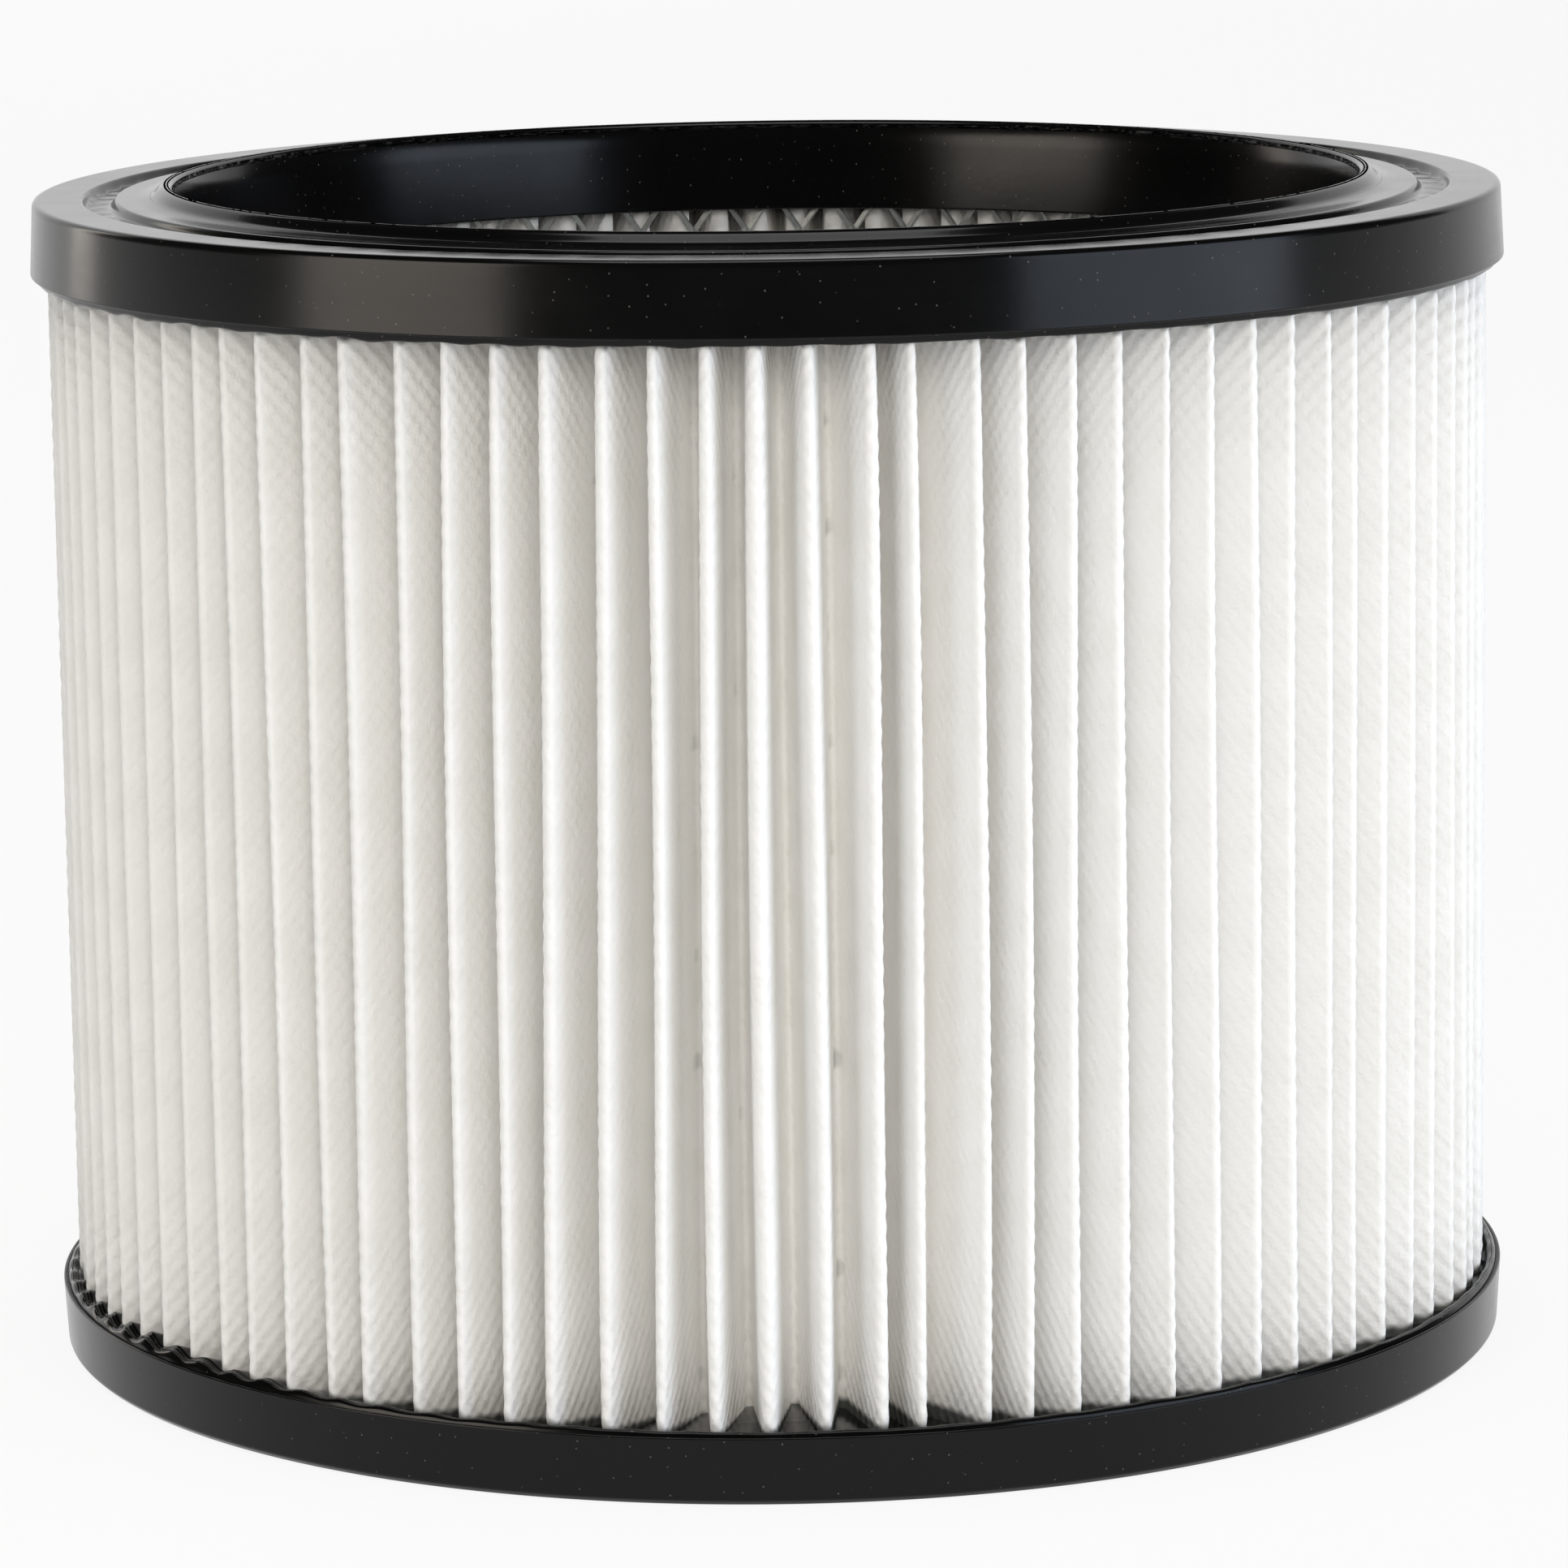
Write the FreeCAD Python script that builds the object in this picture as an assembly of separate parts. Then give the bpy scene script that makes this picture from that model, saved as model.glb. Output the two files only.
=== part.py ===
"""Pleated cartridge filter of a wet-and-dry vacuum cleaner.

A long sheet of bonded polyester, folded into radial pleats, stands round a tube of
expanded steel.  Both stand in the potting recess of two cast polyurethane caps.  The
caps are open rings, so the cartridge slips over the cage under the motor.
Millimetres, +Z up along the filter's axis, origin at the centre of the base.
"""
import FreeCAD
import Part

import math
import os

# Overall sizes
BORE_DIAMETER = 146.2  # slips over the motor cage
RING_WIDTH = 19.4  # from the bore to the outer wall
OVERALL_HEIGHT = 147.5

# Cast caps: the outer wall narrows towards the end face so that it leaves its mould
TOP_CAP_HEIGHT = 9.1
BOTTOM_CAP_HEIGHT = 8.3
WALL_DRAFT_DEGREES = 3.0
EDGE_CHAMFER = 0.7

# Potting recess on the open side of each cap, between an outer rim and an inner skirt
OUTER_RIM_WIDTH = 1.7
INNER_RIM_WIDTH = 0.8
POTTING_DEPTH = 1.2
INNER_SKIRT_HEIGHT = 1.2
SEAT_CLEARANCE = 0.2

# Sealing lip round the bore of the top cap
LIP_HEIGHT = 1.6
LIP_CREST_WIDTH = 0.8
LIP_BORE_CHAMFER = 1.7
LIP_SIDE_WIDTH = 0.7
LIP_FOOT_WIDTH = 1.8
LIP_FOOT_HEIGHT = 0.6

# Groove that the mould's support ring leaves in the top face
GROOVE_WIDTH = 3.8
GROOVE_DEPTH = 1.0
GROOVE_PLACE = 0.42  # 0 at the foot of the lip, 1 at the edge of the face

# Pleated sheet; each fold is drawn with a few flat facets
PLEAT_COUNT = 90
SHEET_THICKNESS = 0.6
TIP_RADIUS = 1.1
VALLEY_RADIUS = 0.5
TIP_FACETS = 3
VALLEY_FACETS = 2
LINING_FACETS = 2

# Expanded-steel core, with the cells drawn larger than the real ones
CORE_THICKNESS = 0.7
CELLS_AROUND = 20
CELL_ROWS = 5
STRAND_WIDTH = 1.6
BOND_WIDTH = 2.4
BOND_LENGTH = 6.5

# Radii, from the bore outwards
bore_radius = BORE_DIAMETER / 2
cap_radius = bore_radius + RING_WIDTH
skirt_radius = bore_radius + INNER_RIM_WIDTH
core_inner_radius = skirt_radius + SEAT_CLEARANCE
core_outer_radius = core_inner_radius + CORE_THICKNESS
core_corner_radius = core_outer_radius / math.cos(math.pi / (2 * CELLS_AROUND))
pack_inner_radius = core_corner_radius + SEAT_CLEARANCE
rim_radius = cap_radius - OUTER_RIM_WIDTH
pack_outer_radius = rim_radius - SEAT_CLEARANCE

# Heights, from the base upwards
top_face_z = OVERALL_HEIGHT - LIP_HEIGHT
pack_bottom_z = BOTTOM_CAP_HEIGHT - POTTING_DEPTH
pack_top_z = top_face_z - TOP_CAP_HEIGHT + POTTING_DEPTH
pack_height = pack_top_z - pack_bottom_z

AXIS_POINT = FreeCAD.Vector(0, 0, 0)
AXIS = FreeCAD.Vector(0, 0, 1)


def polygon_face(points):
    """A flat face inside a closed outline of points."""
    return Part.Face(Part.makePolygon(points + points[:1]))


def wall_radius(cap_height, depth):
    """Radius of a cap's drafted outer wall at a depth below its end face."""
    narrowing = (cap_height - depth) * math.tan(math.radians(WALL_DRAFT_DEGREES))
    return cap_radius - narrowing


def potting_side(cap_height):
    """Outline of a cap's open side from the outer wall to the bore, as radius and depth."""
    floor = cap_height - POTTING_DEPTH
    skirt_edge = cap_height + INNER_SKIRT_HEIGHT
    return [
        (cap_radius, cap_height),
        (rim_radius, cap_height),
        (rim_radius, floor),
        (skirt_radius, floor),
        (skirt_radius, skirt_edge),
        (bore_radius, skirt_edge),
    ]


def edge_of_face(cap_height):
    """The chamfer between a cap's end face and its outer wall, as radius and depth."""
    wall = wall_radius(cap_height, EDGE_CHAMFER)
    return [(wall - EDGE_CHAMFER, 0), (wall, EDGE_CHAMFER)]


def spin(outline, face_z, direction):
    """Turn an outline of radius and depth about the axis; depth runs into the cap."""
    points = [FreeCAD.Vector(r, 0, face_z + direction * depth) for r, depth in outline]
    return polygon_face(points).revolve(AXIS_POINT, AXIS, 360)


def make_bottom_cap():
    """Plain cast ring whose flat end face is the base of the filter."""
    base = [(bore_radius, 0)] + edge_of_face(BOTTOM_CAP_HEIGHT)
    return spin(base + potting_side(BOTTOM_CAP_HEIGHT), 0, 1)


def make_top_cap():
    """Cast ring with a raised sealing lip round its bore and a mould groove in its face."""
    crest_inner = bore_radius + LIP_BORE_CHAMFER
    crest_outer = crest_inner + LIP_CREST_WIDTH
    lip_radius = crest_outer + LIP_SIDE_WIDTH
    foot_radius = lip_radius + LIP_FOOT_WIDTH
    face_edge = edge_of_face(TOP_CAP_HEIGHT)
    face_edge_radius = face_edge[0][0]

    lip = [
        (bore_radius, 0),
        (crest_inner, -LIP_HEIGHT),
        (crest_outer, -LIP_HEIGHT),
        (lip_radius, -LIP_FOOT_HEIGHT),
        (foot_radius, 0),
    ]
    groove_middle = foot_radius + GROOVE_PLACE * (face_edge_radius - foot_radius)
    groove_inner = groove_middle - GROOVE_WIDTH / 2
    groove_outer = groove_middle + GROOVE_WIDTH / 2
    groove = [
        (groove_inner, 0),
        (groove_inner, GROOVE_DEPTH),
        (groove_outer, GROOVE_DEPTH),
        (groove_outer, 0),
    ]
    outline = lip + groove + face_edge + potting_side(TOP_CAP_HEIGHT)
    return spin(outline, top_face_z, -1)


def fold_points(centre_radius, centre_angle, fold_radius, middle, half_sweep, facets):
    """Points round one fold, whose arc opens half_sweep to each side of its middle."""
    points = []
    for step in range(facets + 1):
        share = step / facets
        bearing = centre_angle + middle + half_sweep * (2 * share - 1)
        x = centre_radius * math.cos(centre_angle) + fold_radius * math.cos(bearing)
        y = centre_radius * math.sin(centre_angle) + fold_radius * math.sin(bearing)
        points.append(FreeCAD.Vector(x, y, pack_bottom_z))
    return points


def make_pleated_sheet():
    """One sheet folded to and fro between the core and the rim.

    The flanks are the straight lines that touch the rounded tip of one pleat and the
    rounded valley beside it, so both faces of the sheet keep its thickness.
    """
    half_pitch = math.pi / PLEAT_COUNT
    tip_lining = TIP_RADIUS - SHEET_THICKNESS
    valley_lining = VALLEY_RADIUS + SHEET_THICKNESS
    tip_centre = pack_outer_radius - TIP_RADIUS
    valley_centre = pack_inner_radius + valley_lining

    # Bearing at which a flank leaves the tip, from the line between the two fold centres
    across_x = valley_centre * math.cos(half_pitch) - tip_centre
    across_y = valley_centre * math.sin(half_pitch)
    spacing = math.hypot(across_x, across_y)
    radii_sum = (TIP_RADIUS + tip_lining + VALLEY_RADIUS + valley_lining) / 2
    tip_sweep = math.atan2(across_y, across_x) - math.acos(radii_sum / spacing)
    valley_sweep = tip_sweep - half_pitch

    outside = []
    lining = []
    for pleat in range(PLEAT_COUNT):
        tip_angle = 2 * half_pitch * pleat
        valley_angle = tip_angle + half_pitch
        outside += fold_points(tip_centre, tip_angle, TIP_RADIUS, 0, tip_sweep, TIP_FACETS)
        outside += fold_points(
            valley_centre, valley_angle, VALLEY_RADIUS, math.pi, -valley_sweep, VALLEY_FACETS
        )
        lining += fold_points(tip_centre, tip_angle, tip_lining, 0, tip_sweep, LINING_FACETS)
        lining += fold_points(
            valley_centre, valley_angle, valley_lining, math.pi, -valley_sweep, LINING_FACETS
        )
    section = polygon_face(outside).cut(polygon_face(lining))
    return section.Faces[0].extrude(AXIS * pack_height)


def flat_sided_bar(flat_radius):
    """Upright bar with two flat sides for each cell of the core, flat_radius from the axis."""
    sides = 2 * CELLS_AROUND
    corner_radius = flat_radius / math.cos(math.pi / sides)
    corners = []
    for side in range(sides):
        turn = 2 * math.pi * side / sides
        x = corner_radius * math.cos(turn)
        y = corner_radius * math.sin(turn)
        corners.append(FreeCAD.Vector(x, y, pack_bottom_z))
    return polygon_face(corners).extrude(AXIS * pack_height)


def make_core():
    """Steel tube opened into staggered six-sided cells, with a bond between neighbours.

    The strands are straight, so the tube bends only at the middles of cells and bonds.
    It is cut off through the middle of a row of cells at each end, so that only bonds
    stand in the potting.
    """
    cell_pitch = 2 * core_outer_radius * 2 * math.tan(math.pi / (2 * CELLS_AROUND))
    row_pitch = pack_height / CELL_ROWS
    strand_rise = row_pitch - BOND_LENGTH
    slope = strand_rise / (cell_pitch / 2)
    strand_height = STRAND_WIDTH * math.hypot(1, slope)
    half_width = (cell_pitch - BOND_WIDTH) / 2
    apex = BOND_LENGTH / 2 + strand_rise - strand_height / 2
    shoulder = apex - slope * half_width

    # One cell, drawn upright on the X axis and pushed out through the wall
    outline = [
        (0, apex),
        (half_width, shoulder),
        (half_width, -shoulder),
        (0, -apex),
        (-half_width, -shoulder),
        (-half_width, shoulder),
    ]
    inside_x = core_inner_radius / 2
    cell = polygon_face([FreeCAD.Vector(inside_x, y, z) for y, z in outline])
    cell = cell.extrude(FreeCAD.Vector(core_outer_radius, 0, 0))

    cells = []
    for row in range(CELL_ROWS + 1):
        for place in range(CELLS_AROUND):
            hole = cell.copy()
            turn = (place + (row % 2) / 2) * 360 / CELLS_AROUND
            hole.rotate(AXIS_POINT, AXIS, turn)
            hole.translate(AXIS * (pack_bottom_z + row * row_pitch))
            cells.append(hole)

    tube = flat_sided_bar(core_outer_radius).cut(flat_sided_bar(core_inner_radius))
    return tube.cut(cells).Solids[0]


PIECES = {
    "bottom_cap": make_bottom_cap,
    "support_core": make_core,
    "pleated_medium": make_pleated_sheet,
    "top_cap": make_top_cap,
}

os.makedirs("parts", exist_ok=True)
for name, make in PIECES.items():
    make().exportStep(f"parts/{name}.step")
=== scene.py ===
"""Pleated cartridge filter of a wet-and-dry vacuum cleaner, on a plain pale floor.

The sections follow the filter as it is put together: the steel core, the folded medium
round it, the two cast end caps, and then the floor, the light and the camera.
Metres, +Z up along the filter's axis, the camera on the -Y side.
"""

import bpy
import numpy as np
from mathutils import Matrix, Vector


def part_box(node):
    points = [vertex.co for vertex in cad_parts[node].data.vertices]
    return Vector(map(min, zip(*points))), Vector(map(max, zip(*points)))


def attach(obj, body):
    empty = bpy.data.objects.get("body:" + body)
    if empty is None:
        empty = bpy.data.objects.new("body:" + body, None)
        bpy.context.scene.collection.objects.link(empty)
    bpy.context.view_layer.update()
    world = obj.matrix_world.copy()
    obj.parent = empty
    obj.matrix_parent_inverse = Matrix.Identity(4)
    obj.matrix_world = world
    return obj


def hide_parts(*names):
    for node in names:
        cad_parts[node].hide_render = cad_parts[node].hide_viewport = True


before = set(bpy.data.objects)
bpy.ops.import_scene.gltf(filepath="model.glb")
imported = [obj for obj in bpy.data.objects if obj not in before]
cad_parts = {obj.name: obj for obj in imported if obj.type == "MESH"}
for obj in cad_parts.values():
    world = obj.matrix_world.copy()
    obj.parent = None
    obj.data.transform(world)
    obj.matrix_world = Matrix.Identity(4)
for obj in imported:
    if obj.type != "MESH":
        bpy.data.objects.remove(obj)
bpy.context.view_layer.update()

# Support core: a tube rolled from zinc-coated expanded steel, which keeps the pleats from
# folding inwards.  Slit sheet is stretched into diamonds, so its strands zigzag from bond
# to bond and stand a little turned, like louvres.  Both ends are cast into the caps.
MM = 0.001
PACK_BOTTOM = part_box("pleated_medium")[0][2]
PACK_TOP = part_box("pleated_medium")[1][2]

CORE_CELLS = 64
CORE_RADIUS = 74.5 * MM
STRAND_WIDTH = 0.65 * MM
STRAND_THICKNESS = 0.45 * MM
STRAND_TURN = np.radians(28)
BOND_LENGTH = 2.0 * MM
ROW_PITCH = 6.33 * MM
FIRST_BOND_TOP = 133.0 * MM
FIRST_BOND_ANGLE = np.radians(92.06)
BOND_ROWS = np.arange(-1, 22)  # counted down from the first bond in sight, past both ends
END_MARGIN = 0.2 * MM  # a bend nearer to an end of the tube than this is left out


def linear(hex_colour):
    """Linear RGBA of an sRGB hex colour."""
    value = np.array([int(hex_colour[i:i + 2], 16) for i in (1, 3, 5)]) / 255
    value = np.where(value <= 0.04045, value / 12.92, ((value + 0.055) / 1.055) ** 2.4)
    return (*value.tolist(), 1.0)


def add_node(material, kind, inputs, **settings):
    """Add a node with its settings; an input takes a value or the socket it links to."""
    node = material.node_tree.nodes.new(kind)
    for name, value in settings.items():
        setattr(node, name, value)
    for name, value in inputs.items():
        if isinstance(value, bpy.types.NodeSocket):
            material.node_tree.links.new(value, node.inputs[name])
        else:
            node.inputs[name].default_value = value
    return node


def piece_from_mesh(name, points, quads, material, uv=None, **marks):
    """An object at the origin from points and four-cornered faces.

    The UV belongs to the faces' corners, and each mark is a number for each point.
    """
    mesh = bpy.data.meshes.new(name)
    mesh.from_pydata(points.reshape(-1, 3), [], quads.reshape(-1, 4))
    if uv is not None:
        mesh.uv_layers.new(name="surface_mm").uv.foreach_set("vector", uv.astype(np.float32).ravel())
    for mark, values in marks.items():
        attribute = mesh.attributes.new(mark, "FLOAT", "POINT")
        attribute.data.foreach_set("value", values.astype(np.float32).ravel())
    mesh.shade_smooth()
    mesh.materials.append(material)
    piece = bpy.data.objects.new(name, mesh)
    bpy.context.collection.objects.link(piece)
    return piece


def grid_quads(rows, columns, closed):
    """Corner numbers of the faces of a grid; the columns join up into a ring when closed."""
    row = np.arange(rows - 1)[:, None]
    column = np.arange(columns if closed else columns - 1)[None, :]
    after = (column + 1) % columns
    corners = (row * columns + column, row * columns + after,
               (row + 1) * columns + after, (row + 1) * columns + column)
    return np.stack(np.broadcast_arrays(*corners), axis=-1).reshape(-1, 4)


def expanded_strands():
    """Points of the strands, by strand, height and corner.

    The path of a strand is a zigzag: upright for the length of a bond, then slanting over
    half a cell to the next bond, and back.  A flat rectangle, turned a little about the
    path, is carried along it and mitred at each bend; the whole is wrapped round the tube.
    """
    cell_pitch = 2 * np.pi * CORE_RADIUS / CORE_CELLS
    bond_top = FIRST_BOND_TOP - BOND_ROWS * ROW_PITCH
    swing = cell_pitch / 2 - STRAND_WIDTH
    side = np.where(BOND_ROWS % 2 == 0, 0.0, 1.0)
    knot_z = np.stack([bond_top, bond_top - BOND_LENGTH], axis=1).ravel()[::-1]
    knot_swing = np.repeat(side, 2)[::-1] * swing
    inside = (knot_z > PACK_BOTTOM + END_MARGIN) & (knot_z < PACK_TOP - END_MARGIN)
    z = np.concatenate([[PACK_BOTTOM], knot_z[inside], [PACK_TOP]])
    offset = np.interp(z, knot_z, knot_swing)

    # Each bond has one strand on its left, swinging left, and one on its right
    strand = np.arange(2 * CORE_CELLS)
    way = np.where(strand % 2 == 0, -1.0, 1.0)[:, None]
    across = way * (STRAND_WIDTH / 2 + offset[None, :])
    bond_angle = FIRST_BOND_ANGLE + 2 * np.pi * (strand // 2) / CORE_CELLS

    # Mitre: the side directions are square to the mean of the directions before and after
    step = np.diff(np.stack([across, np.broadcast_to(z, across.shape)], axis=-1), axis=1)
    step /= np.linalg.norm(step, axis=-1, keepdims=True)
    before = np.concatenate([step[:, :1], step], axis=1)
    after = np.concatenate([step, step[:, -1:]], axis=1)
    mean = before + after
    mean /= np.linalg.norm(mean, axis=-1, keepdims=True)
    stretch = 1 / np.sum(mean * before, axis=-1)
    ends = np.zeros(len(z), bool)
    ends[[0, -1]] = True
    side_x = np.where(ends, 1.0, mean[..., 1] * stretch)
    side_z = np.where(ends, 0.0, -mean[..., 0] * stretch)

    corner_w = np.array([-0.5, -0.5, 0.5, 0.5]) * STRAND_WIDTH
    corner_n = np.array([-0.5, 0.5, 0.5, -0.5]) * STRAND_THICKNESS
    turned_w = corner_w * np.cos(STRAND_TURN) - corner_n * np.sin(STRAND_TURN)
    turned_n = corner_w * np.sin(STRAND_TURN) + corner_n * np.cos(STRAND_TURN)
    arc = across[..., None] + turned_w * side_x[..., None]
    height = z[None, :, None] + turned_w * side_z[..., None]
    radius = CORE_RADIUS + np.broadcast_to(turned_n, arc.shape)
    angle = bond_angle[:, None, None] + arc / CORE_RADIUS
    return np.stack([radius * np.cos(angle), radius * np.sin(angle), height], axis=-1)


strands = expanded_strands()
strand_count, ring_count = strands.shape[:2]
strand_quads = np.concatenate([
    grid_quads(ring_count, 4, True),
    [[3, 2, 1, 0]],
    np.arange(4)[None, :] + 4 * (ring_count - 1),
])
strand_starts = 4 * ring_count * np.arange(strand_count)[:, None, None]

# Zinc-coated steel: dull mid grey, with the cloudy spangle of hot-dipped zinc, whose flakes
# differ in tone and are duller towards their edges
zinc = bpy.data.materials.new("zinc_coated_steel")
zinc.use_nodes = True
place = add_node(zinc, "ShaderNodeTexCoord", {})
SPANGLE_MM = 1.6
spangle = add_node(zinc, "ShaderNodeTexVoronoi",
                   {"Vector": place.outputs["Object"], "Scale": 1 / (SPANGLE_MM * MM)})
tone = add_node(zinc, "ShaderNodeMix",
                {"Factor": spangle.outputs["Color"], 6: linear("#8E918F"), 7: linear("#B4B7B4")},
                data_type="RGBA")
zinc_rough = add_node(zinc, "ShaderNodeMapRange",
                      {"Value": spangle.outputs["Distance"], "To Min": 0.34, "To Max": 0.52})
steel = zinc.node_tree.nodes["Principled BSDF"]
steel.inputs["Metallic"].default_value = 0.5
zinc.node_tree.links.new(tone.outputs[2], steel.inputs["Base Color"])
zinc.node_tree.links.new(zinc_rough.outputs["Result"], steel.inputs["Roughness"])

core = piece_from_mesh("expanded_steel_core", strands, strand_starts + strand_quads, zinc)
core.data.shade_flat()
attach(core, "root")
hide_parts("support_core")

# Pleated medium: one long sheet of white point-bonded polyester fleece, scored, folded to
# and fro and joined into a ring round the core.  The folds are pushed together by hand, so
# they stand a little uneven and lean; their ends are cast into the caps.
PLEATS = 90
PACK_RADIUS = 90.6 * MM
VALLEY_RADIUS = 75.9 * MM
VALLEY_HALF_WIDTH = 0.45 * MM
FLEECE = 0.6 * MM
FIRST_TIP_ANGLE = np.radians(-87.1)
CAST_DEEPER = 2.5 * MM  # the folds go further into the bottom cap than the plain solid does
FOLD_BOTTOM = PACK_BOTTOM - CAST_DEEPER
SHEET_ROWS = 106
LINING_ROWS = 13
TIP_BEARINGS = np.radians([-82.0, -42.0, 0.0, 42.0, 82.0])
DOT_PITCH_MM = 2 * (PACK_TOP - FOLD_BOTTOM) / MM / (SHEET_ROWS - 1)

# Unevenness of the folds; the tips at the front's middle stand wider open
TIP_SHIFT_DEGREES = 0.3
TIP_SHIFT_LIMIT_DEGREES = 0.5
TIP_DEPTH_LIMIT = 0.45 * MM
TIP_HALF_WIDTHS = (0.5 * MM, 0.75 * MM)
FRONT_WIDENING = 0.5
FRONT_WIDENING_PLEAT = -1
FRONT_WIDENING_REACH = 4.2
FLANK_BOW = 0.16 * MM
LEAN = np.radians(0.34)
LEAN_TURNS = np.array([2, 5, 9])
SWAY = np.radians(0.12)
SWAY_WAVES = 0.8
PINCH = 0.32
PINCH_REACH = 7 * MM
RIPPLE = 0.045 * MM
RIPPLE_HALF_WAVES = 9
TIP_CLEARANCE = 0.1 * MM
SMALLEST_FOLD = 0.12 * MM

fold_luck = np.random.default_rng(21)
pleat = np.arange(PLEATS)
tip_shift = fold_luck.normal(0, TIP_SHIFT_DEGREES, PLEATS)
tip_shift = np.radians(np.clip(tip_shift, -TIP_SHIFT_LIMIT_DEGREES, TIP_SHIFT_LIMIT_DEGREES))
tip_depth = fold_luck.uniform(0.0, TIP_DEPTH_LIMIT, PLEATS)
tip_half_width = fold_luck.uniform(*TIP_HALF_WIDTHS, PLEATS)
front_pleat = (pleat + PLEATS / 2) % PLEATS - PLEATS / 2
from_widest = (front_pleat - FRONT_WIDENING_PLEAT) / FRONT_WIDENING_REACH
tip_half_width *= 1 + FRONT_WIDENING * np.exp(-from_widest ** 2)
tip_wave_phase = fold_luck.uniform(0, 2 * np.pi, (PLEATS, 2))
flank_bow = fold_luck.normal(0, FLANK_BOW, (PLEATS, 2))
lean_phase = fold_luck.uniform(0, 2 * np.pi, len(LEAN_TURNS))
lean_wave = np.sin(2 * np.pi * pleat[:, None] / PLEATS * LEAN_TURNS + lean_phase)
tip_lean = LEAN * lean_wave.sum(axis=1)


def tip_angle(share):
    """Angle of each tip at a share of the height: even spacing, moved by hand and leaning."""
    sway = SWAY * np.sin(2 * np.pi * share * SWAY_WAVES + tip_wave_phase[:, :1])
    even = FIRST_TIP_ANGLE + 2 * np.pi * pleat / PLEATS
    return (even + tip_shift)[:, None] + tip_lean[:, None] * (share - 0.5) + sway


def folded_sheet(rows, inwards):
    """Points of one face of the sheet, by row and column.

    Each pleat has a round tip, an arc about the tip's line, and a flat valley at the core.
    The flanks between are straight apart from a slight bow.  The tips are pinched towards
    the caps, and swell and shrink from dot row to dot row.  inwards moves the face to the
    sheet's other side.
    """
    share = np.linspace(0, 1, rows)[None, :]
    z = FOLD_BOTTOM + (PACK_TOP - FOLD_BOTTOM) * share
    to_end = np.minimum(z - FOLD_BOTTOM, PACK_TOP - z)
    pinch = 1 - PINCH * np.exp(-to_end / PINCH_REACH)
    beat = np.where(np.arange(rows) % 2 == 0, 1.0, -1.0)[None, :]
    strength = 1 + 0.5 * np.sin(RIPPLE_HALF_WAVES * np.pi * share + tip_wave_phase[:, 1:])
    ripple = RIPPLE * beat * strength
    ripple = np.where(inwards > 0, 0.0, ripple)

    half = tip_half_width[:, None] * pinch
    angle = tip_angle(share)
    centre = PACK_RADIUS - TIP_CLEARANCE - tip_depth[:, None] - half
    fold = np.maximum(half - inwards, SMALLEST_FOLD) + ripple
    bearing = TIP_BEARINGS[:, None, None]
    radial = centre + fold * np.cos(bearing)
    sideways = fold * np.sin(bearing)
    tip_x = radial * np.cos(angle) - sideways * np.sin(angle)
    tip_y = radial * np.sin(angle) + sideways * np.cos(angle)

    next_angle = np.roll(angle, -1, axis=0)
    next_angle[-1] += 2 * np.pi
    valley_angle = (angle + next_angle) / 2
    valley_half = np.array([-1.0, 1.0])[:, None, None] * (VALLEY_HALF_WIDTH + inwards)
    valley_radial = VALLEY_RADIUS - inwards
    valley_x = valley_radial * np.cos(valley_angle) - valley_half * np.sin(valley_angle)
    valley_y = valley_radial * np.sin(valley_angle) + valley_half * np.cos(valley_angle)

    # Middles of the two flanks: after the tip, and from the valley to the next tip
    bow = flank_bow.T[:, :, None] * np.sin(np.pi * share)
    next_x = np.roll(tip_x[0], -1, axis=0)
    next_y = np.roll(tip_y[0], -1, axis=0)
    after_x = (tip_x[-1] + valley_x[0]) / 2 - bow[0] * np.sin(valley_angle)
    after_y = (tip_y[-1] + valley_y[0]) / 2 + bow[0] * np.cos(valley_angle)
    before_x = (next_x + valley_x[1]) / 2 - bow[1] * np.sin(valley_angle)
    before_y = (next_y + valley_y[1]) / 2 + bow[1] * np.cos(valley_angle)
    x = np.concatenate([tip_x, after_x[None], valley_x, before_x[None]])
    y = np.concatenate([tip_y, after_y[None], valley_y, before_y[None]])
    points = np.stack([x, y, np.broadcast_to(z, x.shape)], axis=-1)
    return points.transpose(2, 1, 0, 3).reshape(rows, -1, 3)


outside = folded_sheet(SHEET_ROWS, 0.0)
lining = folded_sheet(LINING_ROWS, FLEECE)
columns = outside.shape[1]
lining_start = SHEET_ROWS * columns
outside_quads = grid_quads(SHEET_ROWS, columns, True)
lining_quads = grid_quads(LINING_ROWS, columns, True)[:, ::-1] + lining_start
column = np.arange(columns)
after = (column + 1) % columns
outside_top = (SHEET_ROWS - 1) * columns
lining_top = lining_start + (LINING_ROWS - 1) * columns
bottom_edge = np.stack([column + lining_start, after + lining_start, after, column], axis=1)
top_edge = [column + outside_top, after + outside_top, after + lining_top, column + lining_top]
top_edge = np.stack(top_edge, axis=1)

# The sheet's own map: millimetres along its length and its width
middle = outside[SHEET_ROWS // 2]
along = np.linalg.norm(np.roll(middle, -1, axis=0) - middle, axis=1)
along = np.concatenate([[0.0], np.cumsum(along)]) / MM


def sheet_uv(rows, backwards):
    """Corner UV of a face of the sheet: length along the folds, and height."""
    height = np.linspace(FOLD_BOTTOM, PACK_TOP, rows) / MM
    left, low = np.meshgrid(along[:-1], height[:-1])
    right, high = np.meshgrid(along[1:], height[1:])
    corners = np.stack([left, low, right, low, right, high, left, high], axis=-1).reshape(-1, 4, 2)
    return corners[:, ::-1] if backwards else corners


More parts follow.
